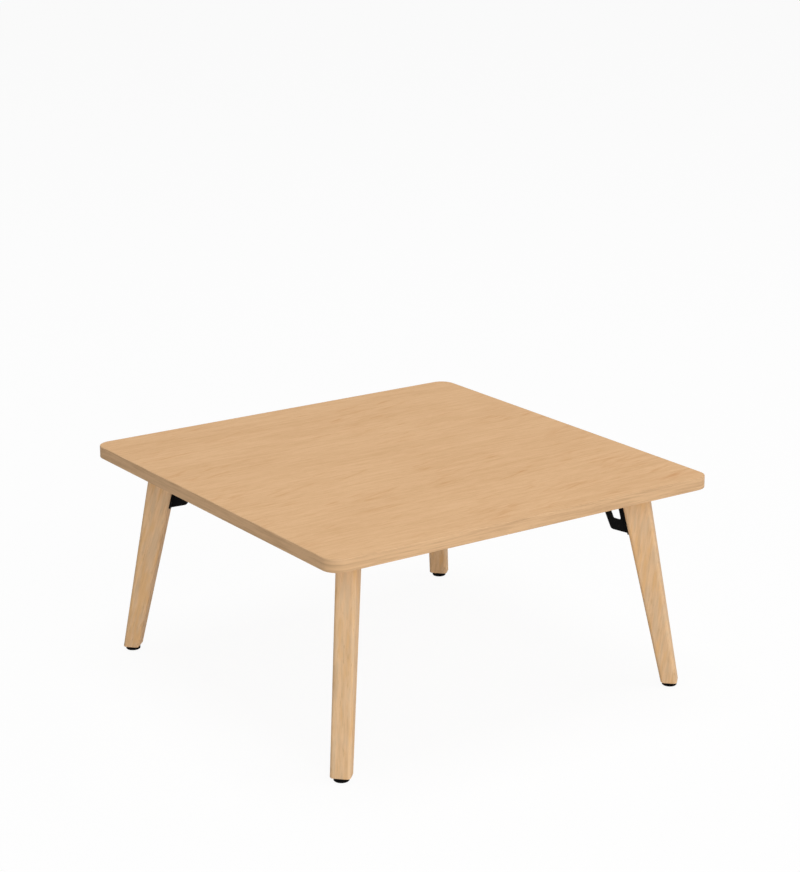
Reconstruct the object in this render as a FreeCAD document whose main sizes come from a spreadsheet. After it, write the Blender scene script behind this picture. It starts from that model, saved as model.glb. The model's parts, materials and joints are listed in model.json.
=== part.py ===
"""Square low wooden table whose four splayed legs fold inwards along the diagonals.

The frame has its origin on the floor under the middle of the top, with Z up and X along the front edge.
Every leg and its fitting is drawn once on the XZ plane, where X runs outwards along the diagonal. It is
then turned about Z to its corner. Lengths are in millimetres and angles in degrees.
"""
import FreeCAD, Part
import math
import os
import re
import Sketcher

# Driving dimensions, one cell each in the sheet.
SIZES = {
    # table top: a core board with a sheet on both faces and a band round its edge
    "top_width": 900,
    "top_height": 450,
    "top_thickness": 25,
    "corner_radius": 32,
    "sheet_thickness": 0.8,
    "band_thickness": 2,
    "band_rounding": 1.5,
    # legs: the setback is measured on the diagonal, from the sharp corner to the leg's outer face
    "leg_setback": 125.4,
    "leg_width": 40,
    "leg_depth": 58,
    "inner_lean": 13.25,
    "outer_lean": 10,
    "leg_rounding": 7,
    "foot_bevel": 1.3,
    "seat_clearance": 0.2,
    # foot glides
    "glide_diameter": 30,
    "glide_height": 8.5,
    "glide_bevel": 1,
    "glide_recess": 2,
    # pivot: its drop below the top and its distance from the leg's inner face
    "pivot_drop": 31,
    "pivot_inset": 18,
    "bolt_diameter": 8,
    "bolt_flats": 13,
    "bolt_head_height": 5.3,
    "bolt_tail": 1.5,
    "nut_height": 8,
    "pivot_clearance": 0.05,
    "washer_diameter": 20,
    "washer_thickness": 0.6,
    "washer_clearance": 0.03,
    # leg bracket: drops are measured down the leg's inner face, insets square to that face
    "web_thickness": 4,
    "web_edge_lean": 7.5,
    "web_corner_drop": 91.4,
    "web_corner_rounding": 10,
    "hub_radius": 24.5,
    "flange_thickness": 3,
    "flange_width": 24,
    "flange_rounding": 4,
    "flange_drop": 108.2,
    # the web's window: its lower edge rises away from the leg, and a strip is left beside the web's edge
    "window_top_drop": 46,
    "window_drop": 77.5,
    "window_rise": 7,
    "window_outer_inset": 11.1,
    "window_strip": 12.7,
    "window_rounding": 2.5,
    # hinge base
    "base_thickness": 3,
    "base_length": 77,
    "base_width": 64,
    "base_rounding": 8,
    "base_gap": 4,
    "ear_thickness": 3,
    "ear_radius": 13,
    "ear_brace_lean": 35,
    # screws, all countersunk
    "screw_clearance": 0.05,
    "screw_rim": 0.3,
    "base_screw_diameter": 4.5,
    "base_screw_head": 8.4,
    "base_screw_sink": 2.6,
    "base_screw_length": 18,
    "base_screw_margin": 11,
    "leg_screw_diameter": 4,
    "leg_screw_head": 7.6,
    "leg_screw_sink": 2.4,
    "leg_screw_length": 30,
    "leg_screw_spread": 15,
    "leg_screw_first_drop": 50,
    "leg_screw_pitch": 23,
    "glide_screw_diameter": 4,
    "glide_screw_head": 7.6,
    "glide_screw_sink": 2.4,
    "glide_screw_length": 25,
    "screw_tip": 5,
}

# Sizes that follow from the driving ones.
RELATIONS = {
    "underside": "top_height - top_thickness",
    "core_width": "top_width - 2 * band_thickness",
    "core_radius": "corner_radius - band_thickness",
    "leg_outer": "top_width / 2 * sqrt(2) - leg_setback",
    "leg_inner": "leg_outer - leg_depth",
    "leg_end": "underside - seat_clearance",
    "foot_inner": "leg_inner + (underside - glide_height) * tan(inner_lean)",
    "foot_outer": "leg_outer + (underside - glide_height) * tan(outer_lean)",
    "foot_centre": "(foot_inner + foot_outer) / 2",
    "pivot_height": "underside - pivot_drop",
    "pivot_reach": "leg_inner + pivot_drop * tan(inner_lean) - pivot_inset / cos(inner_lean)",
    "pivot_face_drop": "(pivot_drop - pivot_inset * sin(inner_lean)) / cos(inner_lean)",
    "pivot_bore": "bolt_diameter / 2 + pivot_clearance",
    "bracket_top_drop": "pivot_face_drop - hub_radius",
    "slot_half": "web_thickness / 2 + washer_thickness + 2 * washer_clearance",
    "ear_face": "slot_half + ear_thickness",
    "base_outer": "leg_inner - base_gap",
    "base_inner": "base_outer - base_length",
    "base_underside": "underside - base_thickness",
    "hex_radius": "bolt_flats / 2 / cos(30)",
}

# Where each leg stands, as the angle of its diagonal.
CORNERS = {"front_left": 225, "front_right": 315, "back_right": 45, "back_left": 135}
LEG_SCREW_ROWS = 3
QUARTER_TURN = 90
FULL_TURN = 360
# Points this close are one point, and so are the ends of two unit vectors that run the same way.
SAME_PLACE = 0.001
UP = FreeCAD.Vector(0, 0, 1)
ACROSS = FreeCAD.Vector(0, 1, 0)
ALONG = FreeCAD.Vector(1, 0, 0)

doc = FreeCAD.newDocument("folding_table")
sheet = doc.addObject("Spreadsheet::Sheet", "Sizes")
for row, (alias, number) in enumerate(SIZES.items(), start=1):
    sheet.set(f"A{row}", alias)
    sheet.set(f"B{row}", str(number))
    sheet.setAlias(f"B{row}", alias)
doc.recompute()
nodes = []


def formula(text):
    """Writes out a formula in the driving dimensions' own cells."""

    def cell(match):
        word = match[0]
        if word in RELATIONS:
            return f"({formula(RELATIONS[word])})"
        return f"Sizes.{word}" if word in SIZES else word

    return re.sub(r"[a-z_]+", cell, text)


def size(text):
    """The number that a formula gives at present."""
    return float(sheet.evalExpression(formula(text)))


def bind(thing, **formulas):
    """Ties properties of an object to formulas. A double underscore stands for a dot."""
    for name, text in formulas.items():
        thing.setExpression(name.replace("__", "."), formula(text))


def keep(thing, label):
    """Makes an object a sub-part under its own label."""
    thing.Label = label
    nodes.append(thing)


def turned(corner):
    """The placement formula that turns a piece drawn along X to its corner."""
    return f"placement(vector(0; 0; 0); rotation(vector(0; 0; 1); {CORNERS[corner]}))"


def on_leg_face(corner):
    """The placement formula of a piece drawn on an upright leg face, whose origin is at the underside."""
    leaning = "placement(vector(leg_inner; 0; underside); rotation(vector(0; 1; 0); -inner_lean))"
    return f"{turned(corner)} * {leaning}"


def new_body(label, placement=None):
    body = doc.addObject("PartDesign::Body", label)
    body.Label = label
    if placement:
        bind(body, Placement=placement)
    return body


def new_sketch(body, plane, lift):
    """A sketch on one of a body's origin planes, moved along the plane's normal by lift."""
    sketch = body.newObject("Sketcher::SketchObject", "Sketch")
    support = next(feature for feature in body.Origin.OriginFeatures if feature.Role == plane)
    sketch.AttachmentSupport = [(support, "")]
    sketch.MapMode = "FlatFace"
    bind(sketch, AttachmentOffset__Base__z=lift)
    return sketch


def plan_of(body, lift="0"):
    """A sketch of a body seen from above, at a height."""
    return new_sketch(body, "XY_Plane", lift)


def side_of(body, lift="0"):
    """A sketch of a body seen from its side, in the middle plane or moved out of it."""
    return new_sketch(body, "XZ_Plane", lift)


def hold_point(sketch, curve, end, across, up):
    """Fixes one point of a sketch by its two distances from the sketch's origin."""
    for kind, text in (("DistanceX", across), ("DistanceY", up)):
        row = sketch.addConstraint(Sketcher.Constraint(kind, -1, 1, curve, end, size(text)))
        sketch.setExpression(f"Constraints[{row}]", formula(text))


def hold_radius(sketch, curve, radius):
    row = sketch.addConstraint(Sketcher.Constraint("Radius", curve, size(radius)))
    sketch.setExpression(f"Constraints[{row}]", formula(radius))


def draw_polygon(sketch, corners):
    """Draws a closed outline of straight lines through corners, each an (across, up) pair of formulas."""
    points = [FreeCAD.Vector(size(across), size(up), 0) for across, up in corners]
    following = points[1:] + points[:1]
    for start, end in zip(points, following):
        sketch.addGeometry(Part.LineSegment(start, end))
    for line in range(len(points)):
        after = (line + 1) % len(points)
        sketch.addConstraint(Sketcher.Constraint("Coincident", line, 2, after, 1))
    for line, (across, up) in enumerate(corners):
        hold_point(sketch, line, 1, across, up)
    return sketch


def draw_circle(sketch, across, up, radius):
    centre = FreeCAD.Vector(size(across), size(up), 0)
    circle = sketch.addGeometry(Part.Circle(centre, UP, size(radius)))
    hold_point(sketch, circle, 3, across, up)
    hold_radius(sketch, circle, radius)
    return sketch


def draw_half_disc(sketch, across, up, radius):
    """Draws the half of a disc on the side of its centre towards negative X."""
    centre = FreeCAD.Vector(size(across), size(up), 0)
    reach = FreeCAD.Vector(0, size(radius), 0)
    circle = Part.Circle(centre, UP, size(radius))
    arc = sketch.addGeometry(Part.ArcOfCircle(circle, math.pi / 2, 3 * math.pi / 2))
    side = sketch.addGeometry(Part.LineSegment(centre + reach, centre - reach))
    hold_point(sketch, arc, 3, across, up)
    sketch.addConstraint(Sketcher.Constraint("Coincident", arc, 1, side, 1))
    sketch.addConstraint(Sketcher.Constraint("Coincident", arc, 2, side, 2))
    sketch.addConstraint(Sketcher.Constraint("Vertical", side))
    sketch.addConstraint(Sketcher.Constraint("PointOnObject", arc, 3, side))
    hold_radius(sketch, arc, radius)
    return sketch


def add_feature(body, kind, sketch, length, side="One side", backwards=False):
    """A pad or pocket of a sketch."""
    feature = body.newObject(f"PartDesign::{kind}", kind)
    feature.Profile = sketch
    feature.SideType = side
    feature.Reversed = backwards
    bind(feature, Length=length)
    doc.recompute()


def dress(body, kind, amount, chosen):
    """Rounds or bevels the edges of a body's last feature that the function chosen picks."""
    base = body.Tip
    names = [f"Edge{i}" for i, edge in enumerate(base.Shape.Edges, start=1) if chosen(edge)]
    feature = body.newObject(f"PartDesign::{kind}", kind)
    feature.Base = (base, names)
    bind(feature, **{"Radius" if kind == "Fillet" else "Size": amount})
    doc.recompute()


def runs_along(direction):
    """Picks straight edges along a direction."""

    def chosen(edge):
        if edge.Curve.TypeId != "Part::GeomLine":
            return False
        return edge.tangentAt(edge.FirstParameter).cross(direction).Length < SAME_PLACE

    return chosen


def crosses_at(corners):
    """Picks the edges that cross the middle plane of a body's side view at these corners."""
    spots = [FreeCAD.Vector(size(across), 0, size(up)) for across, up in corners]
    return lambda edge: any(edge.CenterOfMass.distanceToPoint(spot) < SAME_PLACE for spot in spots)


def cut(label, body, rooms):
    """A sub-part: a body with room cut into it for other pieces."""
    thing = doc.addObject("Part::Cut", label)
    thing.Base = body
    thing.Tool = rooms
    keep(thing, label)


def compound(label, things, placement=None):
    group = doc.addObject("Part::Compound", label)
    group.Label = label
    group.Links = things
    if placement:
        bind(group, Placement=placement)
    return group


# Table top. The board's layers stop at the band, which carries the rounded edge.
def square_slab(label, width, radius, bottom, thickness):
    """A body that is a square slab with round corners."""
    body = new_body(label)
    low, high = f"-({width}) / 2", f"({width}) / 2"
    outline = [(low, low), (high, low), (high, high), (low, high)]
    add_feature(body, "Pad", draw_polygon(plan_of(body, bottom), outline), thickness)
    dress(body, "Fillet", radius, runs_along(UP))
    return body


def make_edge_band():
    body = square_slab("edge_band_slab", "top_width", "corner_radius", "underside", "top_thickness")
    outer_faces = (size("underside"), size("top_height"))

    def is_rim(edge):
        heights = [vertex.Z for vertex in edge.Vertexes]
        return any(max(abs(height - face) for height in heights) < SAME_PLACE for face in outer_faces)

    dress(body, "Fillet", "band_rounding", is_rim)
    below, through = "underside - top_thickness", "3 * top_thickness"
    cut("edge_band", body, square_slab("board_room", "core_width", "core_radius", below, through))


# Screws. Each is turned about its own axis, from the flat of its head at the origin to its tip above.
def screw_profile(name, clearance):
    """The half outline of a countersunk screw, or of the room it needs when clearance isn't zero."""
    sketch = doc.addObject("Sketcher::SketchObject", f"{name}_outline")
    sketch.Placement = FreeCAD.Placement(FreeCAD.Vector(), FreeCAD.Rotation(ALONG, QUARTER_TURN))
    shank = f"{name}_diameter / 2 + {clearance}"
    head = f"{name}_head / 2 + {clearance}"
    lead = "0" if clearance == "0" else "-2 * glide_recess"
    end = f"{name}_length + {clearance}"
    corners = [("0", lead), (head, lead), (head, "screw_rim"), (shank, f"{name}_sink")]
    corners += [(shank, f"{name}_length - screw_tip"), ("screw_rim", end), ("0", end)]
    return draw_polygon(sketch, corners)


def screw_places(name, profile, places, tilt):
    """Turned screws, tilted about Y, one at each place, an (along, across, up) triple of formulas."""
    turned_screws = []
    for along, across, up in places:
        screw = doc.addObject("Part::Revolution", name)
        screw.Source = profile
        screw.Axis = UP
        screw.Angle = FULL_TURN
        screw.Solid = True
        screw.Placement = FreeCAD.Placement(FreeCAD.Vector(), FreeCAD.Rotation(ACROSS, tilt))
        bind(screw, Placement__Base__x=along, Placement__Base__y=across, Placement__Base__z=up)
        turned_screws.append(screw)
    return turned_screws


def base_screw_spots():
    """Four screws near the corners of the hinge base, driven up from its lower face."""
    spots = []
    for along in ("base_inner + base_screw_margin", "base_outer - base_screw_margin"):
        for side in ("-", ""):
            spots.append((along, f"{side}(base_width / 2 - base_screw_margin)", "base_underside"))
    return spots


def leg_screw_spots():
    """Rows of two screws down the flange, driven into the leg square to its inner face."""
    spots = []
    for step in range(LEG_SCREW_ROWS):
        for side in ("-", ""):
            drop = f"-(leg_screw_first_drop + {step} * leg_screw_pitch)"
            spots.append(("-flange_thickness", f"{side}leg_screw_spread / 2", drop))
    return spots


def glide_screw_spots():
    """One screw, driven up through the middle of the glide."""
    return [("foot_centre", "0", "glide_recess")]


# Leg: a tapered blank sawn to its side view, with its long edges rounded and its foot bevelled.
def make_leg(corner, rooms):
    body = new_body(f"{corner}_leg_blank", turned(corner))
    inner_end = "leg_inner + seat_clearance * tan(inner_lean)"
    outer_end = "leg_outer + seat_clearance * tan(outer_lean)"
    side_view = [("foot_inner", "glide_height"), ("foot_outer", "glide_height")]
    side_view += [(outer_end, "leg_end"), (inner_end, "leg_end")]
    add_feature(body, "Pad", draw_polygon(side_of(body), side_view), "leg_width", "Symmetric")
    half_way = size("underside") / 2
    dress(body, "Fillet", "leg_rounding", lambda edge: edge.BoundBox.ZLength > half_way)
    foot = size("glide_height")
    dress(body, "Chamfer", "foot_bevel", lambda edge: edge.BoundBox.ZMax < foot + SAME_PLACE)
    cut(f"{corner}_leg", body, rooms)


def make_glide(corner, rooms):
    body = new_body(f"{corner}_glide_disc", turned(corner))
    disc = draw_circle(plan_of(body), "foot_centre", "0", "glide_diameter / 2")
    add_feature(body, "Pad", disc, "glide_height")
    dress(body, "Chamfer", "glide_bevel", lambda edge: edge.BoundBox.ZMax < SAME_PLACE)
    cut(f"{corner}_glide", body, rooms)


# Leg bracket: a flange on the leg's inner face and a web with a window, which turns between the ears.
def make_leg_bracket(corner, rooms):
    body = new_body(f"{corner}_leg_bracket_plates", on_leg_face(corner))
    top, bottom = "-bracket_top_drop", "-flange_drop"
    flange = [("-flange_thickness", bottom), ("0", bottom), ("0", top), ("-flange_thickness", top)]
    add_feature(body, "Pad", draw_polygon(side_of(body), flange), "flange_width", "Symmetric")
    dress(body, "Fillet", "flange_rounding", runs_along(ALONG))

    def edge_inset(drop):
        """How far the web's free edge, which leans towards the leg, is from the leg's face at a drop."""
        at_pivot = "pivot_inset + hub_radius / cos(web_edge_lean)"
        return f"{at_pivot} - ({drop} - pivot_face_drop) * tan(web_edge_lean)"

    touch_inset = "pivot_inset + hub_radius * cos(web_edge_lean)"
    touch_drop = "pivot_face_drop + hub_radius * sin(web_edge_lean)"
    web_corner = (f"-({edge_inset('web_corner_drop')})", "-web_corner_drop")
    web = [("0", top), ("-pivot_inset", top), (f"-({touch_inset})", f"-({touch_drop})")]
    web += [web_corner, ("0", bottom)]
    add_feature(body, "Pad", draw_polygon(side_of(body), web), "web_thickness", "Symmetric")
    dress(body, "Fillet", "web_corner_rounding", crosses_at([web_corner]))
    hub = draw_half_disc(side_of(body), "-pivot_inset", "-pivot_face_drop", "hub_radius")
    add_feature(body, "Pad", hub, "web_thickness", "Symmetric")

    through = "2 * web_thickness"
    bore = draw_circle(side_of(body), "-pivot_inset", "-pivot_face_drop", "pivot_bore")
    add_feature(body, "Pocket", bore, through, "Symmetric")
    window = [("-window_outer_inset", "-window_drop"), ("-window_outer_inset", "-window_top_drop")]
    for drop in ("window_top_drop", "window_drop - window_rise"):
        window.append((f"window_strip - ({edge_inset(drop)})", f"-({drop})"))
    add_feature(body, "Pocket", draw_polygon(side_of(body), window), through, "Symmetric")
    dress(body, "Fillet", "window_rounding", crosses_at(window))
    cut(f"{corner}_leg_bracket", body, rooms)


# Hinge base: a plate screwed under the top, with two ears that hold the pivot.
def make_hinge_base(corner, rooms):
    body = new_body(f"{corner}_hinge_base_plates", turned(corner))
    low, high = "-base_width / 2", "base_width / 2"
    plate = [("base_inner", low), ("base_outer", low), ("base_outer", high), ("base_inner", high)]
    add_feature(body, "Pad", draw_polygon(plan_of(body, "base_underside"), plate), "base_thickness")
    dress(body, "Fillet", "base_rounding", runs_along(UP))

    brace_touch = "pivot_height - ear_radius * sin(ear_brace_lean)"
    ear = [
        ("pivot_reach - ear_radius / cos(ear_brace_lean) - pivot_drop * tan(ear_brace_lean)", "underside"),
        ("pivot_reach - ear_radius * cos(ear_brace_lean)", brace_touch),
        ("pivot_reach + ear_radius * cos(inner_lean)", "pivot_height + ear_radius * sin(inner_lean)"),
        ("pivot_reach + ear_radius / cos(inner_lean) - pivot_drop * tan(inner_lean)", "underside"),
    ]
    both_ears = "2 * ear_face"
    add_feature(body, "Pad", draw_polygon(side_of(body), ear), both_ears, "Symmetric")
    end = draw_circle(side_of(body), "pivot_reach", "pivot_height", "ear_radius")
    add_feature(body, "Pad", end, both_ears, "Symmetric")

    floor, outside = "pivot_height - 2 * ear_radius", "base_outer + ear_radius"
    slot = [("base_inner", floor), (outside, floor), (outside, "base_underside")]
    slot += [("base_inner", "base_underside")]
    add_feature(body, "Pocket", draw_polygon(side_of(body), slot), "2 * slot_half", "Symmetric")
    bore = draw_circle(side_of(body), "pivot_reach", "pivot_height", "pivot_bore")
    add_feature(body, "Pocket", bore, "4 * ear_face", "Symmetric")
    cut(f"{corner}_hinge_base", body, rooms)


# Pivot: a hexagon bolt across the ears, nylon washers beside the web, and a lock nut.
def hexagon():
    """The corners of the bolt's hexagon round the pivot."""
    corners = []
    for angle in range(0, FULL_TURN, FULL_TURN // 6):
        across = f"pivot_reach + hex_radius * cos({angle})"
        up = f"pivot_height + hex_radius * sin({angle})"
        corners.append((across, up))
    return corners


def make_pivot_bolt(corner):
    body = new_body(f"{corner}_pivot_bolt", turned(corner))
    shank = draw_circle(side_of(body, "ear_face"), "pivot_reach", "pivot_height", "bolt_diameter / 2")
    add_feature(body, "Pad", shank, "2 * ear_face + nut_height + bolt_tail", backwards=True)
    add_feature(body, "Pad", draw_polygon(side_of(body, "ear_face"), hexagon()), "bolt_head_height")
    keep(body, f"{corner}_pivot_bolt")


def make_lock_nut(corner):
    body = new_body(f"{corner}_lock_nut", turned(corner))
    outside = draw_polygon(side_of(body, "-ear_face"), hexagon())
    add_feature(body, "Pad", outside, "nut_height", backwards=True)
    thread = draw_circle(side_of(body, "-ear_face"), "pivot_reach", "pivot_height", "pivot_bore")
    add_feature(body, "Pocket", thread, "2 * nut_height")
    keep(body, f"{corner}_lock_nut")


def make_friction_washers(corner):
    near_face = "web_thickness / 2 + washer_clearance"
    washers = []
    for start in (near_face, f"-({near_face} + washer_thickness)"):
        rings = []
        for radius in ("washer_diameter / 2", "pivot_bore"):
            ring = doc.addObject("Part::Cylinder", "washer")
            ring.Placement = FreeCAD.Placement(FreeCAD.Vector(), FreeCAD.Rotation(ALONG, -QUARTER_TURN))
            bind(ring, Radius=radius, Height="washer_thickness", Placement__Base__x="pivot_reach",
                 Placement__Base__y=start, Placement__Base__z="pivot_height")
            rings.append(ring)
        washer = doc.addObject("Part::Cut", "washer")
        washer.Base, washer.Tool = rings
        washers.append(washer)
    label = f"{corner}_friction_washers"
    keep(compound(label, washers, turned(corner)), label)


# Put the table together, corner by corner, and then the top over them.
PROFILES = {name: screw_profile(name, "0") for name in ("base_screw", "leg_screw", "glide_screw")}
ROOMS = {name: screw_profile(name, "screw_clearance") for name in PROFILES}
base_rooms = []
for corner in CORNERS:
    rooms = {}
    for name, node, spots, placement, tilt in (
        ("base_screw", "base_screws", base_screw_spots(), turned(corner), 0),
        ("leg_screw", "leg_screws", leg_screw_spots(), on_leg_face(corner), QUARTER_TURN),
        ("glide_screw", "glide_screw", glide_screw_spots(), turned(corner), 0),
    ):
        screws = screw_places(name, PROFILES[name], spots, tilt)
        keep(compound(f"{corner}_{node}", screws, placement), f"{corner}_{node}")
        room = screw_places("room", ROOMS[name], spots, tilt)
        rooms[name] = compound(f"{corner}_{name}_room", room, placement)
    base_rooms.append(rooms["base_screw"])
    leg_rooms = compound(f"{corner}_leg_rooms", [rooms["leg_screw"], rooms["glide_screw"]])
    make_leg(corner, leg_rooms)
    make_glide(corner, rooms["glide_screw"])
    make_leg_bracket(corner, rooms["leg_screw"])
    make_hinge_base(corner, rooms["base_screw"])
    make_pivot_bolt(corner)
    make_friction_washers(corner)
    make_lock_nut(corner)

all_base_rooms = compound("all_base_rooms", base_rooms)
for label, bottom, thickness in (
    ("top_core", "underside + sheet_thickness", "top_thickness - 2 * sheet_thickness"),
    ("bottom_sheet", "underside", "sheet_thickness"),
):
    cut(label, square_slab(f"{label}_slab", "core_width", "core_radius", bottom, thickness), all_base_rooms)
face_bottom = "top_height - sheet_thickness"
face = square_slab("top_sheet", "core_width", "core_radius", face_bottom, "sheet_thickness")
keep(face, "top_sheet")
make_edge_band()
doc.recompute()

for thing in doc.Objects:
    if "Invalid" in thing.State or "Error" in thing.State:
        raise RuntimeError(f"{thing.Label} failed: {thing.State}")
for node in nodes:
    if node.Shape.isNull() or not node.Shape.isValid() or not node.Shape.Solids:
        raise RuntimeError(f"{node.Label} has no valid solid")

os.makedirs("parts", exist_ok=True)
for node in nodes:
    node.Shape.exportStep(f"parts/{node.Label}.step")
    print(node.Label, len(node.Shape.Solids), round(node.Shape.Volume, 3))
print(len(nodes), "sub-parts, pivot at", round(size("pivot_reach"), 3), round(size("pivot_height"), 3))
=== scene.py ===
"""Looks of a square low wooden table whose legs fold inwards. Lengths are in metres, angles in radians."""
import json
import math

import bmesh
import bpy
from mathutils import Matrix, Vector


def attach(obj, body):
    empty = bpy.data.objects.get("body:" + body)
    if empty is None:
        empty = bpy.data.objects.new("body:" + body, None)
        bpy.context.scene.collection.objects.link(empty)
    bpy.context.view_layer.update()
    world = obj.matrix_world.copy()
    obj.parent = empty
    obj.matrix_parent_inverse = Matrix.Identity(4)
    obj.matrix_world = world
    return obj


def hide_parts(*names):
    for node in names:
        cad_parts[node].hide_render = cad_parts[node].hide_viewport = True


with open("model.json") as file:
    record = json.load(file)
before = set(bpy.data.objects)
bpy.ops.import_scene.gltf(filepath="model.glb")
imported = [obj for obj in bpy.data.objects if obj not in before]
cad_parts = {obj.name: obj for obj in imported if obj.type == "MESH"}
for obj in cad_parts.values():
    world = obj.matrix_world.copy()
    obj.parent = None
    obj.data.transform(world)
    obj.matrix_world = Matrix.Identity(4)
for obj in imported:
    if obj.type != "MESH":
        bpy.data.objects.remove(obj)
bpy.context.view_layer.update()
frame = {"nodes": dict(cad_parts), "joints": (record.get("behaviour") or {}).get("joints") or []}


# Core board. Pressed wood chips in resin, sawn square and covered on all sides.
# It shows only in the screw holes, so its finish is a plain mix of chips.
class Tone:
    """One output in a node tree. Arithmetic on it adds Math nodes to that tree."""

    def __init__(self, tree, socket):
        self.tree = tree
        self.socket = socket

    def node(self, kind, settings, inputs, output=0):
        """Adds a node: its settings first, then its sockets' values or links. A list links all its tones."""
        added = self.tree.nodes.new(kind)
        for name, value in settings.items():
            setattr(added, name, value)
        for name, value in inputs.items():
            for item in value if isinstance(value, list) else [value]:
                if isinstance(item, Tone):
                    self.tree.links.new(item.socket, added.inputs[name])
                else:
                    added.inputs[name].default_value = item
        return Tone(self.tree, added.outputs[output])

    def maths(self, operation, first, second=0.0):
        return self.node("ShaderNodeMath", {"operation": operation}, {0: first, 1: second})

    def __add__(self, other):
        return self.maths("ADD", self, other)

    def __sub__(self, other):
        return self.maths("SUBTRACT", self, other)

    def __rsub__(self, other):
        return self.maths("SUBTRACT", other, self)

    def __mul__(self, other):
        return self.maths("MULTIPLY", self, other)

    def __truediv__(self, other):
        return self.maths("DIVIDE", self, other)

    def __rtruediv__(self, other):
        return self.maths("DIVIDE", other, self)

    __radd__ = __add__
    __rmul__ = __mul__

    def step(self, low, high):
        """Rises smoothly from 0 at low to 1 at high."""
        settings = {"interpolation_type": "SMOOTHSTEP"}
        return self.node("ShaderNodeMapRange", settings, {"Value": self, "From Min": low, "From Max": high})

    def blend(self, first, second):
        """Mixes two colours, the first where this tone is 0 and the second where it is 1."""
        factor, colour_a, colour_b, colour_out = 0, 6, 7, 2
        inputs = {factor: self, colour_a: first, colour_b: second}
        return self.node("ShaderNodeMix", {"data_type": "RGBA"}, inputs, output=colour_out)

    def moved(self, along, across, up):
        """A place moved by three tones or numbers."""
        offset = self.node("ShaderNodeCombineXYZ", {}, {"X": along, "Y": across, "Z": up})
        return self.node("ShaderNodeVectorMath", {"operation": "ADD"}, {0: self, 1: offset})

    def turned(self, angle):
        """A place seen in axes that are turned about Z by an angle."""
        return self.node("ShaderNodeMapping", {}, {"Vector": self, "Rotation": (0, 0, -angle)})

    def cloud(self, sizes, shift=0.0, detail=3.0):
        """Soft noise whose blots have about these sizes along the three axes."""
        scale = tuple(1 / size for size in sizes)
        at = self.node("ShaderNodeMapping", {}, {"Vector": self, "Location": (shift,) * 3, "Scale": scale})
        return self.node("ShaderNodeTexNoise", {}, {"Vector": at, "Scale": 1.0, "Detail": detail})

    def swing(self, size):
        """A noise tone, which has its middle at 0.5, made to swing about 0 by a size."""
        return (self - 0.5) * size

    def relief(self, depth):
        """A surface normal with this tone standing up by a depth."""
        return self.node("ShaderNodeBump", {}, {"Height": self, "Distance": depth})


class Finish:
    """A material with one Principled shader. Its place is the object's own coordinates."""

    def __init__(self, name):
        self.material = bpy.data.materials.new(name)
        self.material.use_nodes = True
        self.tree = self.material.node_tree
        self.shader = self.tree.nodes["Principled BSDF"]
        coordinates = self.tree.nodes.new("ShaderNodeTexCoord")
        self.place = Tone(self.tree, coordinates.outputs["Object"])

    def set(self, inputs):
        for name, value in inputs.items():
            if isinstance(value, Tone):
                self.tree.links.new(value.socket, self.shader.inputs[name])
            else:
                self.shader.inputs[name].default_value = value
        return self


def cover(finish, *nodes):
    """Gives CAD nodes a finish in place of the one they came with."""
    for node in nodes:
        for slot in frame["nodes"][node].material_slots:
            slot.material = finish.material


def board_finish():
    chip_pale = (0.52, 0.37, 0.22, 1)
    chip_dark = (0.30, 0.19, 0.10, 1)
    chip_size = (0.006, 0.006, 0.0012)
    chip_depth = 0.0003
    finish = Finish("pressed_board")
    chips = finish.place.cloud(chip_size, detail=4.0)
    return finish.set({
        "Base Color": chips.step(0.35, 0.65).blend(chip_pale, chip_dark),
        "Roughness": 0.8,
        "Normal": chips.relief(chip_depth),
    })


cover(board_finish(), "top_core")


# Face sheet. A thin decor sheet pressed on the board, with an even light oak grain along the front edge.
# Broad pale bands, fine lines, pores and short slanted flecks lie under a matt lacquer.
LACQUER_GLOSS = 0.15


def sheet_finish(name, pale, dark, fleck, contrast):
    """A decor sheet. Each size of its grain is along it, across it and through the sheet."""
    band_size = (0.30, 0.055, 1.0)
    line_size = (0.085, 0.0046, 1.0)
    fibre_size = (0.022, 0.0016, 1.0)
    pore_size = (0.010, 0.0007, 1.0)
    fleck_size = (0.075, 0.0085, 1.0)
    patch_size = (0.20, 0.09, 1.0)
    sway_size = (0.40, 0.16, 1.0)
    sway = 0.014
    slants = (math.radians(17), math.radians(6))
    band_share = 0.30
    line_share = 1.5
    fibre_share = 1.4
    pore_share = 0.5
    base_share = 0.19
    grain_depth = 0.00004
    finish = Finish(name)
    place = finish.place
    grain = place.moved(0.0, place.cloud(sway_size, detail=2.0).swing(sway), 0.0)
    bands = grain.cloud(band_size, detail=2.0).step(0.30, 0.70)
    lines = grain.cloud(line_size, detail=4.0)
    fibres = grain.cloud(fibre_size, shift=11.0, detail=3.0)
    pores = grain.cloud(pore_size, shift=17.0, detail=1.0).step(0.60, 0.72)
    marks = 0.0
    for number, slant in enumerate(slants, start=1):
        strokes = grain.turned(slant).cloud(fleck_size, shift=7.0 * number).step(0.53, 0.77)
        where = place.cloud(patch_size, shift=3.0 * number, detail=1.0).step(0.46, 0.64)
        marks = strokes * where + marks
    shade = bands * band_share + lines.swing(line_share) + fibres.swing(fibre_share)
    shade = shade + pores * pore_share + base_share
    wood = (shade * contrast).blend(pale, dark)
    return finish.set({
        "Base Color": (marks * contrast).blend(wood, fleck),
        "Roughness": 0.56 + lines * 0.16,
        "Specular IOR Level": LACQUER_GLOSS,
        "Normal": (fibres + lines * 0.5 - pores * 0.6).relief(grain_depth),
    })


OAK_PALE = (0.760, 0.482, 0.262, 1)
OAK_DARK = (0.590, 0.336, 0.156, 1)
OAK_FLECK = (0.610, 0.318, 0.138, 1)
cover(sheet_finish("oak_face", OAK_PALE, OAK_DARK, OAK_FLECK, contrast=0.65), "top_sheet")


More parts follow.
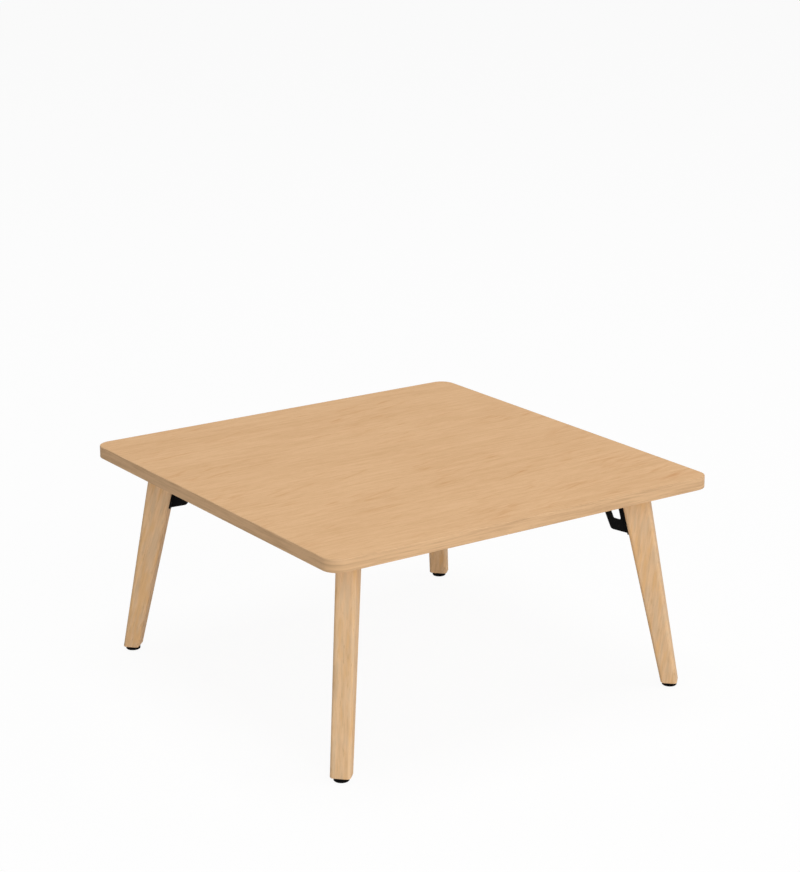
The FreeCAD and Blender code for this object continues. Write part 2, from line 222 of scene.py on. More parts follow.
# Backing sheet. The same press puts a plainer sheet under the board, to keep it flat.
# It is a little greyer and its grain is fainter.
BACK_PALE = (0.640, 0.430, 0.250, 1)
BACK_DARK = (0.500, 0.320, 0.175, 1)
cover(sheet_finish("oak_backing", BACK_PALE, BACK_DARK, BACK_DARK, contrast=0.45), "bottom_sheet")


# Edge band. A strip of oak glued round the board and rounded over at both rims.
# Its grain runs along the edge and round the corners.
def edge_finish():
    pale = (0.664, 0.425, 0.235, 1)
    dark = (0.376, 0.220, 0.108, 1)
    streak_size = (0.10, 0.10, 0.0034)
    line_size = (0.05, 0.05, 0.0013)
    pore_size = (0.010, 0.010, 0.0005)
    streak_share = 0.38
    line_share = 0.75
    pore_share = 0.20
    base_share = 0.02
    grain_depth = 0.00005
    finish = Finish("oak_edge")
    streaks = finish.place.cloud(streak_size, detail=3.0).step(0.40, 0.68)
    lines = finish.place.cloud(line_size, shift=2.0, detail=3.0)
    pores = finish.place.cloud(pore_size, shift=5.0, detail=1.0).step(0.62, 0.75)
    shade = streaks * streak_share + lines.swing(line_share) + pores * pore_share + base_share
    return finish.set({
        "Base Color": shade.blend(pale, dark),
        "Roughness": 0.57 + lines * 0.14,
        "Specular IOR Level": LACQUER_GLOSS,
        "Normal": (lines - pores * 0.6).relief(grain_depth),
    })


cover(edge_finish(), "edge_band")


# Hinge bases. Steel plates with two ears, welded, then powder coated matt black.
# Each is screwed under the top near a corner, on the diagonal.
def coat_finish():
    black_low = (0.0028, 0.0028, 0.0030, 1)
    black_high = (0.0050, 0.0050, 0.0052, 1)
    peel_size = (0.0011, 0.0011, 0.0011)
    cast_size = (0.02, 0.02, 0.02)
    peel_depth = 0.00006
    finish = Finish("black_powder_coat")
    skin = finish.place.cloud(peel_size, detail=2.0)
    cast = finish.place.cloud(cast_size, shift=2.0)
    return finish.set({
        "Base Color": cast.blend(black_low, black_high),
        "Roughness": 0.50 + skin * 0.16,
        "Specular IOR Level": 0.05,
        "Normal": skin.relief(peel_depth),
    })


class Corner:
    """The axes of one leg's corner: outwards, across and up, and the pivot that its leg folds about."""

    def __init__(self, joint):
        self.name = joint["name"].removesuffix("_leg_fold")
        self.unit = joint["child"]
        self.pivot = Vector(joint["pos_m"])
        self.across = Vector(joint["axis"]).normalized()
        self.up = Vector((0, 0, 1))
        self.out = self.across.cross(self.up)

    def node(self, piece):
        return f"{self.name}_{piece}"

    def span(self, piece, direction):
        """The lowest and highest distance of a CAD node's points along a direction."""
        points = [vertex.co.dot(direction) for vertex in frame["nodes"][self.node(piece)].data.vertices]
        return min(points), max(points)


corners = [Corner(joint) for joint in frame["joints"]]
black_coat = coat_finish()
cover(black_coat, *(corner.node("hinge_base") for corner in corners))


# Weld beads. A run of weld lies in the corner between two plates, under the same black coat.
# One joins each ear to its base, and one lies on both sides of each bracket's web.
def make_piece(name, mesh, body, replaced=()):
    """A finished piece: it rides on a body and may stand for CAD nodes."""
    piece = bpy.data.objects.new(name, mesh)
    bpy.context.scene.collection.objects.link(piece)
    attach(piece, body)
    if replaced:
        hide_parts(*replaced)


def grown_mesh(name, mesh, tree, sizes):
    """The plain mesh that a Geometry Nodes tree grows on a mesh, with its named inputs set to sizes."""
    carrier = bpy.data.objects.new(name, mesh)
    bpy.context.scene.collection.objects.link(carrier)
    modifier = carrier.modifiers.new(name, "NODES")
    modifier.node_group = tree
    for item in tree.interface.items_tree:
        if item.in_out == "INPUT" and item.name in sizes:
            modifier[item.identifier] = sizes[item.name]
    depsgraph = bpy.context.evaluated_depsgraph_get()
    grown = bpy.data.meshes.new_from_object(carrier.evaluated_get(depsgraph), depsgraph=depsgraph)
    grown.name = name
    bpy.data.objects.remove(carrier)
    return grown


def new_tree(name, sizes):
    """A Geometry Nodes tree with a geometry input and named sizes. Returns it and its inputs as tones."""
    tree = bpy.data.node_groups.new(name, "GeometryNodeTree")
    tree.interface.new_socket("Seats", in_out="INPUT", socket_type="NodeSocketGeometry")
    for size in sizes:
        tree.interface.new_socket(size, in_out="INPUT", socket_type="NodeSocketFloat")
    tree.interface.new_socket("Pieces", in_out="OUTPUT", socket_type="NodeSocketGeometry")
    source = tree.nodes.new("NodeGroupInput")
    return tree, {socket.name: Tone(tree, socket) for socket in source.outputs if socket.name}


def end_tree(tree, geometry, finish):
    """Closes a tree: copies become real, take their finish and go out."""
    real = geometry.node("GeometryNodeRealizeInstances", {}, {"Geometry": geometry})
    dressed = real.node("GeometryNodeSetMaterial", {}, {"Geometry": real, "Material": finish.material})
    tree.links.new(dressed.socket, tree.nodes.new("NodeGroupOutput").inputs["Pieces"])


BEAD_SIZES = {"Radius": 0.0012, "Ripple Length": 0.0016, "Ripple Share": 0.22}


def bead_tree(finish):
    rows_a_ripple = 5
    sides = 10
    tree, given = new_tree("weld_bead", BEAD_SIZES)
    line = given["Seats"].node("GeometryNodeMeshToCurve", {}, {"Mesh": given["Seats"]})
    step = given["Ripple Length"] / rows_a_ripple
    run = line.node("GeometryNodeResampleCurve", {"mode": "LENGTH"}, {"Curve": line, "Length": step})
    way = run.node("GeometryNodeSplineParameter", {}, {}, output="Length")
    beat = run.maths("FRACT", way / given["Ripple Length"])
    swell = given["Radius"] * (1 - given["Ripple Share"] * beat)
    ring = run.node("GeometryNodeCurvePrimitiveCircle", {}, {"Resolution": sides, "Radius": 1.0})
    tube_inputs = {"Curve": run, "Profile Curve": ring, "Fill Caps": True, "Scale": swell}
    tube = run.node("GeometryNodeCurveToMesh", {}, tube_inputs)
    end_tree(tree, tube, finish)
    return tree


def bead_mesh(name, ends):
    """Weld beads along lines, each a pair of ends."""
    points = [point for pair in ends for point in pair]
    lines = [(first, first + 1) for first in range(0, len(points), 2)]
    mesh = bpy.data.meshes.new(name)
    mesh.from_pydata(points, lines, [])
    return grown_mesh(name, mesh, black_beads, BEAD_SIZES)


black_beads = bead_tree(black_coat)
EAR_WELD_ENDS = (-0.032, 0.003)
ear_welds = []
for corner in corners:
    ear_face = corner.span("lock_nut", corner.across)[0]
    plate = corner.span("base_screws", corner.up)[0]
    reach = corner.pivot.dot(corner.out)
    for side in (-ear_face, ear_face):
        foot_line = corner.across * side + corner.up * plate
        ear_welds.append([corner.out * (reach + end) + foot_line for end in EAR_WELD_ENDS])
make_piece("ear_welds", bead_mesh("ear_welds", ear_welds), "table_top")


# Base screws. Blackened countersunk wood screws with a cross recess, driven up into the board.
# Their threads bite in the core, and their heads sit flush in the plate.
def blackened_finish():
    oxide_low = (0.010, 0.010, 0.011, 1)
    oxide_high = (0.028, 0.027, 0.027, 1)
    stain_size = (0.004, 0.004, 0.004)
    finish = Finish("blackened_steel")
    stain = finish.place.cloud(stain_size)
    return finish.set({
        "Base Color": stain.step(0.35, 0.75).blend(oxide_low, oxide_high),
        "Metallic": 0.6,
        "Roughness": 0.36 + stain * 0.2,
    })


MILLIMETRE = 0.001
SPIN_SEED = 7


def turned_tree(name, sizes, around, strips, finish):
    """A tree that turns strips about Z, in millimetres, and sets the whole at each seat, along its drive."""
    same_point = 0.002
    hard_bend = math.radians(32)
    spin_low, spin_high, seed, spin_out = 2, 3, 8, 1
    tree, given = new_tree(name, sizes)
    seats = given["Seats"]

    def strip(radius, height, rows=2):
        """One strip: its radius and its height are functions of the angle and of the way along it."""
        lattice = {"Size X": 1.0, "Size Y": 1.0, "Vertices X": around + 1, "Vertices Y": rows}
        grid = seats.node("GeometryNodeMeshGrid", {}, lattice)
        spot = seats.node("GeometryNodeInputPosition", {}, {})
        angle = (seats.node("ShaderNodeSeparateXYZ", {}, {0: spot}, output="X") + 0.5) * math.tau
        way = seats.node("ShaderNodeSeparateXYZ", {}, {0: spot}, output="Y") + 0.5
        reach = radius(angle, way)
        x = reach * angle.maths("COSINE", angle)
        y = reach * angle.maths("SINE", angle)
        at = seats.node("ShaderNodeCombineXYZ", {}, {"X": x, "Y": y, "Z": height(angle, way)})
        return seats.node("GeometryNodeSetPosition", {}, {"Geometry": grid, "Position": at})

    joined = seats.node("GeometryNodeJoinGeometry", {}, {"Geometry": strips(given, strip)})
    sealed = seats.node("GeometryNodeMergeByDistance", {}, {"Geometry": joined, "Distance": same_point})
    smooth = seats.node("GeometryNodeSetShadeSmooth", {}, {"Geometry": sealed, "Shade Smooth": True})
    bend = seats.node("GeometryNodeInputMeshEdgeAngle", {}, {})
    hard = bend.maths("GREATER_THAN", bend, hard_bend)
    edges = {"Geometry": smooth, "Selection": hard, "Shade Smooth": False}
    shape = seats.node("GeometryNodeSetShadeSmooth", {"domain": "EDGE"}, edges)
    named = {"data_type": "FLOAT_VECTOR"}
    drive = seats.node("GeometryNodeInputNamedAttribute", named, {"Name": "drive"})
    side = seats.node("GeometryNodeInputNamedAttribute", named, {"Name": "side"})
    along = seats.node("FunctionNodeAlignRotationToVector", {"axis": "Z"}, {"Vector": drive})
    about = {"axis": "X", "pivot_axis": "Z"}
    aim = seats.node("FunctionNodeAlignRotationToVector", about, {"Rotation": along, "Vector": side})
    placed = {"Points": seats, "Instance": shape, "Rotation": aim, "Scale": (MILLIMETRE,) * 3}
    copies = seats.node("GeometryNodeInstanceOnPoints", {}, placed)
    draw = {spin_low: 0.0, spin_high: given["Spin"], seed: SPIN_SEED}
    turn = seats.node("FunctionNodeRandomValue", {}, draw, output=spin_out)
    spin = seats.node("ShaderNodeCombineXYZ", {}, {"Z": turn})
    spun = {"Instances": copies, "Rotation": spin}
    end_tree(tree, seats.node("GeometryNodeRotateInstances", {}, spun), finish)
    return tree


def level(value):
    """A radius or height that is the same all along a strip."""
    return lambda angle, way: value


def slope(first, second):
    """A radius or height that goes evenly from one value to another along a strip."""
    return lambda angle, way: first + (second - first) * way


def screw_strips(size, strip):
    """A countersunk screw from the middle of its recess, over the head and down the thread to its tip."""
    head, core, length = size["Head Radius"], size["Core Radius"], size["Length"]
    depth, sink, rim = size["Recess Depth"], size["Sink"], size["Rim"]
    taper_from = length - size["Tip"]
    shank = slope(sink, taper_from)
    tip = slope(taper_from, length)
    floor_share = 0.75
    flank_from = 0.35
    run_in = 0.12
    rows_a_turn = 5
    tiny = 0.0001

    def recess(angle):
        """The radius of the cross recess at the head's face."""
        quarter = angle.maths("MODULO", angle + math.pi / 4, math.pi / 2)
        off = angle.maths("ABSOLUTE", quarter - math.pi / 4)
        end = size["Recess Reach"] / angle.maths("COSINE", off)
        wall = size["Recess Width"] / (angle.maths("SINE", off) + tiny)
        return angle.maths("MINIMUM", end, wall)

    def thread(angle, height):
        turn = angle.maths("FRACT", height / size["Pitch"] - angle / math.tau)
        ridge = 1 - angle.maths("ABSOLUTE", turn * 2 - 1)
        return core + size["Thread Depth"] * ridge.step(flank_from, 1.0)

    def recess_wall(angle, way):
        return recess(angle) * (floor_share + way * (1 - floor_share))

    def face(angle, way):
        return recess(angle) * (1 - way) + head * way

    def shank_radius(angle, way):
        return core + (thread(angle, shank(angle, way)) - core) * way.step(0.0, run_in)

    def tip_radius(angle, way):
        return thread(angle, tip(angle, way)) * (1 - way)

    shank_rows = (taper_from - sink) / size["Pitch"] * rows_a_turn
    tip_rows = size["Tip"] / size["Pitch"] * rows_a_turn
    return [
        strip(lambda angle, way: recess(angle) * way * floor_share, level(depth)),
        strip(recess_wall, slope(depth, 0.0)),
        strip(face, level(0.0)),
        strip(level(head), slope(0.0, rim)),
        strip(slope(head, core), slope(rim, sink)),
        strip(shank_radius, shank, shank_rows),
        strip(tip_radius, tip, tip_rows),
    ]


def seat_mesh(name, seats):
    """A mesh of bare points, each with the direction its piece is driven in and the one its side faces."""
    mesh = bpy.data.meshes.new(name)
    mesh.from_pydata([point for point, drive, side in seats], [], [])
    drives = mesh.attributes.new("drive", "FLOAT_VECTOR", "POINT")
    sides = mesh.attributes.new("side", "FLOAT_VECTOR", "POINT")
    for number, (point, drive, side) in enumerate(seats):
        drives.data[number].vector = drive
        sides.data[number].vector = side
    return mesh


def screw_seats(node, drive, side):
    """The middle of each screw's head in a CAD node. A head is a screw's lowest end along its drive."""
    same_point = 0.00001
    joined = bmesh.new()
    joined.from_mesh(frame["nodes"][node].data)
    bmesh.ops.remove_doubles(joined, verts=joined.verts, dist=same_point)
    seats = []
    for first in joined.verts:
        if first.tag:
            continue
        first.tag = True
        screw = [first]
        for vertex in screw:
            for edge in vertex.link_edges:
                other = edge.other_vert(vertex)
                if not other.tag:
                    other.tag = True
                    screw.append(other)
        lowest = min(vertex.co.dot(drive) for vertex in screw)
        rim = [vertex.co for vertex in screw if vertex.co.dot(drive) < lowest + same_point]
        seats.append((sum(rim, Vector()) / len(rim), drive, side))
    joined.free()
    return seats


SCREW_SIDES = 24
BASE_SCREW = {
    "Head Radius": 4.2, "Rim": 0.3, "Sink": 2.6, "Core Radius": 1.55, "Thread Depth": 0.65, "Pitch": 2.0,
    "Length": 18.0, "Tip": 5.0, "Recess Reach": 2.3, "Recess Width": 0.58, "Recess Depth": 1.7, "Spin": 1.5,
}
blackened = blackened_finish()
screw_tree = turned_tree("countersunk_screw", BASE_SCREW, SCREW_SIDES, screw_strips, blackened)
base_seats = []
for corner in corners:
    base_seats += screw_seats(corner.node("base_screws"), corner.up, corner.out)
base_screws = grown_mesh("base_screws", seat_mesh("base_screws", base_seats), screw_tree, BASE_SCREW)
replaced = [corner.node("base_screws") for corner in corners]
make_piece("base_screws", base_screws, "table_top", replaced)


# Friction washers. Punched from nylon sheet, one each side of the bracket's web.
# They rub when the leg turns, so that it stays where it is put.
def nylon_finish():
    nylon_pale = (0.70, 0.69, 0.64, 1)
    nylon_worn = (0.55, 0.54, 0.49, 1)
    scuff_size = (0.003, 0.003, 0.003)
    finish = Finish("nylon")
    scuff = finish.place.cloud(scuff_size)
    return finish.set({
        "Base Color": scuff.step(0.4, 0.75).blend(nylon_pale, nylon_worn),
        "Roughness": 0.38 + scuff * 0.2,
    })


nylon = nylon_finish()
cover(nylon, *(corner.node("friction_washers") for corner in corners))


# Pivot bolts. Blackened hexagon bolts through both ears and the bracket's web.
# The head has a turned chamfer, and the thread ends in a bevel.
def hexagon(angle, flats):
    """The radius of a hexagon with this width over its flats, a corner at angle 0."""
    sixth = math.pi / 3
    off = angle.maths("MODULO", angle, sixth) - sixth / 2
    return flats / 2 / angle.maths("COSINE", off)


CHAMFER_SHARE = 0.95
CHAMFER_SLOPE = math.tan(math.radians(30))


def chamfer_drop(angle, flats):
    """How far a turned chamfer has cut a hexagon back at this angle."""
    return (hexagon(angle, flats) - flats / 2 * CHAMFER_SHARE) * CHAMFER_SLOPE


def bolt_strips(size, strip):
    """A bolt from the middle of its head, over the hexagon and along the shank to its end."""
    flats, head, shank = size["Flats"], size["Head Height"], size["Shank Radius"]
    plain, length, bevel = size["Plain To"], size["Length"], size["End Bevel"]
    circle = flats / 2 * CHAMFER_SHARE
    end = length - bevel
    neck = shank - bevel
    threaded = slope(plain, end)
    run_in = 0.15
    run_out = 0.90
    rows_a_turn = 6

    def six(angle):
        return hexagon(angle, flats)

    def drop(angle):
        return chamfer_drop(angle, flats)

    def bevelled(angle, way):
        return circle + (six(angle) - circle) * way

    def sides(angle, way):
        return drop(angle) + (head - drop(angle)) * way

    def cut(angle, way):
        turn = angle.maths("FRACT", threaded(angle, way) / size["Pitch"] - angle / math.tau)
        valley = angle.maths("ABSOLUTE", turn * 2 - 1)
        blend = way.step(0.0, run_in) - way.step(run_out, 1.0)
        return shank - size["Thread Depth"] * valley * blend

    thread_rows = (end - plain) / size["Pitch"] * rows_a_turn
    return [
        strip(slope(0.0, circle), level(0.0)),
        strip(bevelled, lambda angle, way: drop(angle) * way),
        strip(lambda angle, way: six(angle), sides),
        strip(lambda angle, way: six(angle) + (shank - six(angle)) * way, level(head)),
        strip(level(shank), slope(head, plain)),
        strip(cut, threaded, thread_rows),
        strip(slope(shank, neck), slope(end, length)),
        strip(slope(neck, 0.0), level(length)),
    ]


BOLT_SIDES = 48
PIVOT_BOLT = {
    "Flats": 13.0, "Head Height": 5.3, "Shank Radius": 4.0, "Plain To": 15.5, "Length": 26.12,
    "End Bevel": 0.8, "Thread Depth": 0.6, "Pitch": 1.25, "Spin": 0.0,
}
bolt_tree = turned_tree("pivot_bolt", PIVOT_BOLT, BOLT_SIDES, bolt_strips, blackened)
bolt_seats = []
for corner in corners:
    head_face = corner.span("pivot_bolt", corner.across)[0]
    bolt_seats.append((corner.pivot + corner.across * head_face, corner.across, corner.out))
pivot_bolts = grown_mesh("pivot_bolts", seat_mesh("pivot_bolts", bolt_seats), bolt_tree, PIVOT_BOLT)
replaced = [corner.node("pivot_bolt") for corner in corners]
make_piece("pivot_bolts", pivot_bolts, "table_top", replaced)


# Lock nuts. Blackened nuts with a rolled collar that holds a nylon ring on the bolt's thread.
# They are done up until the leg moves stiffly.
def nut_strips(size, strip):
    """A nut round its own section: base, hexagon, collar, the seat of its ring and the bore."""
    flats, tall, hexed = size["Flats"], size["Height"], size["Hexagon Height"]
    bore, collar, lip = size["Bore Radius"], size["Collar Radius"], size["Lip Radius"]
    seat = tall - size["Ring Depth"]
    circle = flats / 2 * CHAMFER_SHARE
    soft = size["Collar Round"]

    def six(angle):
        return hexagon(angle, flats)

    def drop(angle):
        return chamfer_drop(angle, flats)

    def bevelled(angle, way):
        return circle + (six(angle) - circle) * way

    def sides(angle, way):
        return drop(angle) + (hexed - 2 * drop(angle)) * way

    def upper_bevel(angle, way):
        return bevelled(angle, 1 - way)

    def upper_rim(angle, way):
        return hexed - drop(angle) * (1 - way)

    return [
        strip(slope(bore, circle), level(0.0)),
        strip(bevelled, lambda angle, way: drop(angle) * way),
        strip(lambda angle, way: six(angle), sides),
        strip(upper_bevel, upper_rim),
        strip(slope(circle, collar), level(hexed)),
        strip(level(collar), slope(hexed, tall - soft)),
        strip(slope(collar, collar - soft), slope(tall - soft, tall)),
        strip(slope(collar - soft, lip), level(tall)),
        strip(level(lip), slope(tall, seat)),
        strip(slope(lip, bore), level(seat)),
        strip(level(bore), slope(seat, 0.0)),
    ]


LOCK_NUT = {
    "Flats": 13.0, "Height": 8.0, "Hexagon Height": 5.6, "Bore Radius": 4.03, "Collar Radius": 5.9,
    "Collar Round": 0.6, "Lip Radius": 5.0, "Ring Depth": 0.8, "Spin": 0.0,
}
nut_tree = turned_tree("lock_nut", LOCK_NUT, BOLT_SIDES, nut_strips, blackened)
nut_seats = []
for corner in corners:
    ear_face = corner.span("lock_nut", corner.across)[0]
    nut_seats.append((corner.pivot + corner.across * ear_face, corner.across, corner.out))
lock_nuts = grown_mesh("lock_nuts", seat_mesh("lock_nuts", nut_seats), nut_tree, LOCK_NUT)
replaced = [corner.node("lock_nut") for corner in corners]
make_piece("lock_nuts", lock_nuts, "table_top", replaced)


def ring_strips(size, strip):
    """A plain ring round its own section."""
    inner, outer, low, high = size["Inner"], size["Outer"], size["Low"], size["High"]
    return [
        strip(slope(inner, outer), level(low)),
        strip(level(outer), slope(low, high)),
        strip(slope(outer, inner), level(high)),
        strip(level(inner), slope(high, low)),
    ]


NUT_RING = {"Inner": 4.04, "Outer": 4.98, "Low": 7.22, "High": 7.6, "Spin": 0.0}
ring_tree = turned_tree("nut_ring", NUT_RING, BOLT_SIDES, ring_strips, nylon)
nut_rings = grown_mesh("nut_rings", seat_mesh("nut_rings", nut_seats), ring_tree, NUT_RING)
make_piece("nut_rings", nut_rings, "table_top")


# Leg brackets. A flange and a web with an open window, cut from steel plate, welded and coated black.
# The web turns on the pivot bolt between the ears, and the flange is screwed to the leg's inner face.
INNER_LEAN = math.radians(13.25)
FLANGE_THICKNESS = 0.003
WEB_HALF = 0.002
BEAD_CLEARANCE = 0.004


def into_leg(corner):
    """The direction square to a leg's inner face, into the wood."""
    return corner.out * math.cos(INNER_LEAN) + corner.up * math.sin(INNER_LEAN)


def down_leg(corner):
    """The direction down a leg's inner face."""
    return corner.out * math.sin(INNER_LEAN) - corner.up * math.cos(INNER_LEAN)


cover(black_coat, *(corner.node("leg_bracket") for corner in corners))
for corner in corners:
    inward, downward = into_leg(corner), down_leg(corner)
    plate = corner.span("leg_bracket", inward)[1] - FLANGE_THICKNESS
    top, bottom = corner.span("leg_bracket", downward)
    web_welds = []
    for side in (-WEB_HALF, WEB_HALF):
        heights = (top + BEAD_CLEARANCE, bottom - BEAD_CLEARANCE)
        web_welds.append([inward * plate + corner.across * side + downward * height for height in heights])
    name = corner.node("web_welds")
    make_piece(name, bead_mesh(name, web_welds), corner.unit)


# Legs. Each is sawn and planed from one piece of solid oak, tapered to the foot, its long edges rounded.
# Growth rings run along it at a slight slant, and flecks and pores show as short dark dashes.
RING_SLANTS = (math.radians(3), math.radians(17), math.radians(6), math.radians(-4))


def leg_finish(corner, number):
    """Each size of the grain is outwards from the pith, round it and along the leg."""
    pale = (0.780, 0.522, 0.300, 1)
    dark = (0.480, 0.290, 0.142, 1)
    amber = (0.745, 0.450, 0.200, 1)
    grey = (0.640, 0.465, 0.298, 1)
    lean = math.radians(11.6)
    slant = RING_SLANTS[number - 1]
    pith = (0.090, -0.085)
    ring = 0.0050
    run_out = 0.035
    sway_size = (0.05, 0.05, 0.30)
    sway_out = 0.010
    sway_round = 0.008
    streak_size = (0.0045, 0.020, 0.060)
    tint_size = (0.0090, 0.030, 0.070)
    fleck_size = (0.0022, 0.0045, 0.020)
    fibre_size = (0.0012, 0.0012, 0.030)
    pore_size = (0.0010, 0.0010, 0.010)
    ring_share = 0.08
    streak_share = 1.15
    fibre_share = 0.7
    fleck_share = 0.34
    pore_share = 0.22
    base_share = 0.12
    amber_share = 0.6
    grey_share = 0.5
    grain_depth = 0.00005
    finish = Finish(corner.node("oak"))
    foot = corner.pivot.copy()
    foot.z = 0.0
    azimuth = math.atan2(corner.out.y, corner.out.x)
    axes = {"Vector": finish.place, "Location": foot, "Rotation": (0, slant - lean, azimuth)}
    place = finish.place.node("ShaderNodeMapping", {"vector_type": "TEXTURE"}, axes)
    sway = place.cloud(sway_size, shift=9.0 * number, detail=2.0)
    centred = place.moved(pith[0] + sway.swing(sway_out), pith[1] + sway.swing(sway_round), 0.0)
    flat = {0: centred, 1: (1.0, 1.0, run_out)}
    squeezed = place.node("ShaderNodeVectorMath", {"operation": "MULTIPLY"}, flat)
    reach = place.node("ShaderNodeVectorMath", {"operation": "LENGTH"}, {0: squeezed}, output="Value")
    year = place.maths("FRACT", reach / ring)
    rings = year.step(0.15, 0.85) - year.step(0.85, 1.0)
    board = place.turned(math.atan2(pith[1], pith[0]))
    streaks = board.cloud(streak_size, shift=8.0 * number)
    tints = board.cloud(tint_size, shift=6.3 * number, detail=2.0)
    flecks = board.cloud(fleck_size, shift=7.0 * number, detail=2.0).step(0.61, 0.71)
    fibres = place.cloud(fibre_size, shift=4.0 * number, detail=2.0)
    pores = place.cloud(pore_size, shift=6.0 * number, detail=1.0).step(0.62, 0.74)
    shade = rings * ring_share + streaks.swing(streak_share) + fibres.swing(fibre_share)
    shade = shade + flecks * fleck_share + pores * pore_share + base_share
    wood = shade.blend(pale, dark)
    warm = (tints.step(0.50, 0.66) * amber_share).blend(wood, amber)
    return finish.set({
        "Base Color": ((1 - tints).step(0.50, 0.66) * grey_share).blend(warm, grey),
        "Roughness": 0.57 + fibres * 0.14,
        "Specular IOR Level": LACQUER_GLOSS,
        "Normal": (fibres - pores * 0.6).relief(grain_depth),
    })


for number, corner in enumerate(corners, start=1):
    cover(leg_finish(corner, number), corner.node("leg"))


# Leg screws. Longer and thinner blackened screws, six through each flange into the leg.
# They are driven square to the leg's inner face.
LEG_SCREW = BASE_SCREW | {
    "Head Radius": 3.8, "Sink": 2.4, "Core Radius": 1.35, "Length": 30.0, "Recess Reach": 2.1,
}
for corner in corners:
    seats = screw_seats(corner.node("leg_screws"), into_leg(corner), corner.across)
    name = corner.node("driven_leg_screws")
    screws = grown_mesh(name, seat_mesh(name, seats), screw_tree, LEG_SCREW)
    make_piece(name, screws, corner.unit, [corner.node("leg_screws")])


# Foot glides. Moulded black plastic discs with a sunk middle, finely grained, that spare the floor.
# Each is held up into the end of its leg by one zinc plated screw.
def plastic_finish():
    plastic_low = (0.0032, 0.0032, 0.0034, 1)
    plastic_high = (0.0060, 0.0060, 0.0063, 1)
    grain_size = (0.0008, 0.0008, 0.0008)
    scuff_size = (0.010, 0.010, 0.003)
    grain_depth = 0.00004
    finish = Finish("black_moulded_plastic")
    grain = finish.place.cloud(grain_size, detail=2.0)
    scuff = finish.place.cloud(scuff_size, shift=3.0)
    return finish.set({
        "Base Color": scuff.step(0.45, 0.75).blend(plastic_low, plastic_high),
        "Roughness": 0.58 + grain * 0.18,
        "Specular IOR Level": 0.03,
        "Normal": grain.relief(grain_depth),
    })


def zinc_finish():
    zinc_grey = (0.50, 0.51, 0.53, 1)
    zinc_bright = (0.68, 0.68, 0.67, 1)
    mottle_size = (0.0025, 0.0025, 0.0025)
    finish = Finish("bright_zinc")
    mottle = finish.place.cloud(mottle_size, detail=3.0)
    return finish.set({
        "Base Color": mottle.step(0.3, 0.7).blend(zinc_grey, zinc_bright),
        "Metallic": 1.0,
        "Roughness": 0.28 + mottle * 0.2,
    })


plastic = plastic_finish()
GLIDE_SCREW = LEG_SCREW | {"Length": 25.0}
zinc_tree = turned_tree("glide_screw", GLIDE_SCREW, SCREW_SIDES, screw_strips, zinc_finish())
for corner in corners:
    cover(plastic, corner.node("glide"))
    seats = screw_seats(corner.node("glide_screw"), corner.up, corner.across)
    name = corner.node("driven_glide_screw")
    screw = grown_mesh(name, seat_mesh(name, seats), zinc_tree, GLIDE_SCREW)
    make_piece(name, screw, corner.unit, [corner.node("glide_screw")])


# Studio. A wide pale floor under a broad lamp low in front, one overhead and a weaker one at the right.
# Floor and surroundings look white to the camera and in gloss, and the floor keeps a faint shadow.
WHITE = (1, 1, 1, 1)
AMBIENT = 0.15
FLOOR_HALF = 30.0
FLOOR_GAP = 0.0005
FLOOR_SIDES = ((-1, -1), (1, -1), (1, 1), (-1, 1))
SHADOW_SHARE = 0.06
LAMP_TARGET = Vector((0, 0, 0.25))


def seen_straight(tree):
    """1 for rays from the camera, in gloss or through glass, and 0 for rays that carry light."""
    path = tree.nodes.new("ShaderNodeLightPath")
    names = ("Is Camera Ray", "Is Glossy Ray", "Is Transmission Ray")
    camera, glossy, through = [Tone(tree, path.outputs[name]) for name in names]
    return camera.maths("MINIMUM", camera + glossy + through, 1.0)


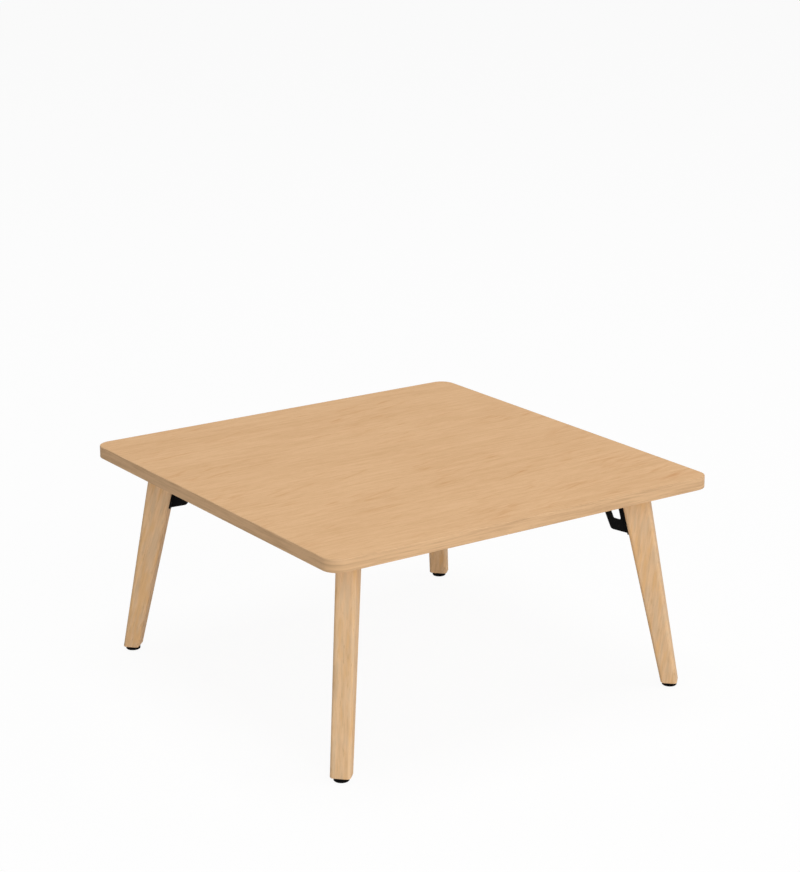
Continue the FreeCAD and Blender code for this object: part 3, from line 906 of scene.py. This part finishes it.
def floor_finish():
    paper = (0.90, 0.90, 0.90, 1)
    finish = Finish("pale_floor").set({"Base Color": paper, "Roughness": 0.9})
    tree = finish.tree
    white = finish.place.node("ShaderNodeEmission", {}, {"Color": WHITE, "Strength": 1.0})
    own = Tone(tree, finish.shader.outputs[0])
    factor = seen_straight(tree) * (1 - SHADOW_SHARE)
    mixed = own.node("ShaderNodeMixShader", {}, {0: factor, 1: own, 2: white})
    tree.links.new(mixed.socket, tree.nodes["Material Output"].inputs["Surface"])
    return finish


def lamp(name, place, side, power):
    """A square soft lamp that looks at the middle of the table."""
    data = bpy.data.lights.new(name, "AREA")
    data.size = side
    data.energy = power
    light = bpy.data.objects.new(name, data)
    light.location = place
    light.rotation_euler = (LAMP_TARGET - light.location).to_track_quat("-Z", "Y").to_euler()
    bpy.context.scene.collection.objects.link(light)


floor_mesh = bpy.data.meshes.new("floor")
floor_corners = [(x * FLOOR_HALF, y * FLOOR_HALF, -FLOOR_GAP) for x, y in FLOOR_SIDES]
floor_mesh.from_pydata(floor_corners, [], [(0, 1, 2, 3)])
floor_mesh.materials.append(floor_finish().material)
floor = bpy.data.objects.new("floor", floor_mesh)
bpy.context.scene.collection.objects.link(floor)

lamp("front_lamp", place=(-2.89, -7.95, 3.33), side=8.0, power=480.0)
lamp("top_lamp", place=(0.0, 0.0, 9.25), side=5.0, power=432.0)
lamp("right_lamp", place=(6.25, -5.24, 4.05), side=5.0, power=190.0)

world = bpy.data.worlds.new("studio")
world.use_nodes = True
background = world.node_tree.nodes["Background"]
background.inputs["Color"].default_value = WHITE
strength = AMBIENT + (1 - AMBIENT) * seen_straight(world.node_tree)
world.node_tree.links.new(strength.socket, background.inputs["Strength"])
bpy.context.scene.world = world
bpy.context.scene.view_settings.view_transform = "Standard"


# Camera. It stands well back and to the left, and looks down at the front left corner with a long lens.
# Its place, turn and lens follow from the table's edges in the photograph.
LOOKS_DOWN = math.radians(16.3203)
TURNED_RIGHT = math.radians(34.9115)
camera_data = bpy.data.cameras.new("camera")
camera_data.lens = 93.10
camera_data.sensor_width = 36.0
camera_data.clip_end = 200.0
camera = bpy.data.objects.new("camera", camera_data)
camera.location = (-2.50075, -3.59832, 1.78211)
camera.rotation_euler = (math.pi / 2 - LOOKS_DOWN, 0.0, -TURNED_RIGHT)
bpy.context.scene.collection.objects.link(camera)
bpy.context.scene.camera = camera
